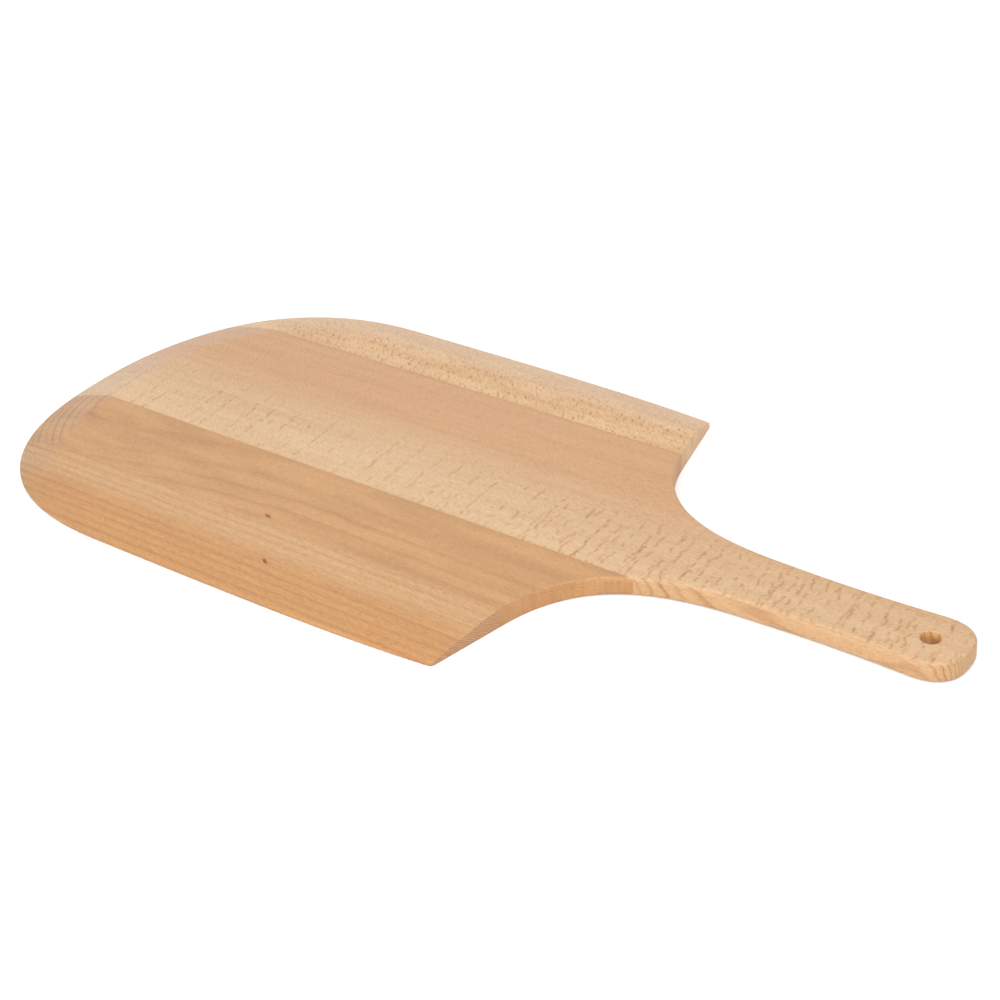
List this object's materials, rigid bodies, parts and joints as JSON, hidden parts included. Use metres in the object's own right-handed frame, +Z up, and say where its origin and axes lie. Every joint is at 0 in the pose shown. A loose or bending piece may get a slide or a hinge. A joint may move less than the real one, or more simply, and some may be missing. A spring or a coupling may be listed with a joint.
{
  "type": "pizza peel",
  "caption": "Wooden pizza peel with a wide round-nosed bevelled blade, square shoulders, a short rounded handle and a hanging hole.",
  "frame": {"origin": "on the surface the peel lies on, under the middle of its overall length and width", "axes": "+X along the handle away from the blade, +Y across the blade towards the right stave as held by the handle, +Z up out of the working face"},
  "size_m": [0.749, 0.3556, 0.0143],
  "materials": {
    "beech_reddish": "sanded and lightly oiled, reddish tan with long flat-sawn grain",
    "beech_middle": "sanded and lightly oiled, pinkish tan fading to pale, with cross flecks along the handle",
    "beech_flecked": "sanded and lightly oiled, golden tan with fine dark flecks"
  },
  "bodies": {
    "root": {"left_stave": "beech_reddish", "middle_stave_with_handle": "beech_middle", "right_stave": "beech_flecked"}
  },
  "joints": []
}
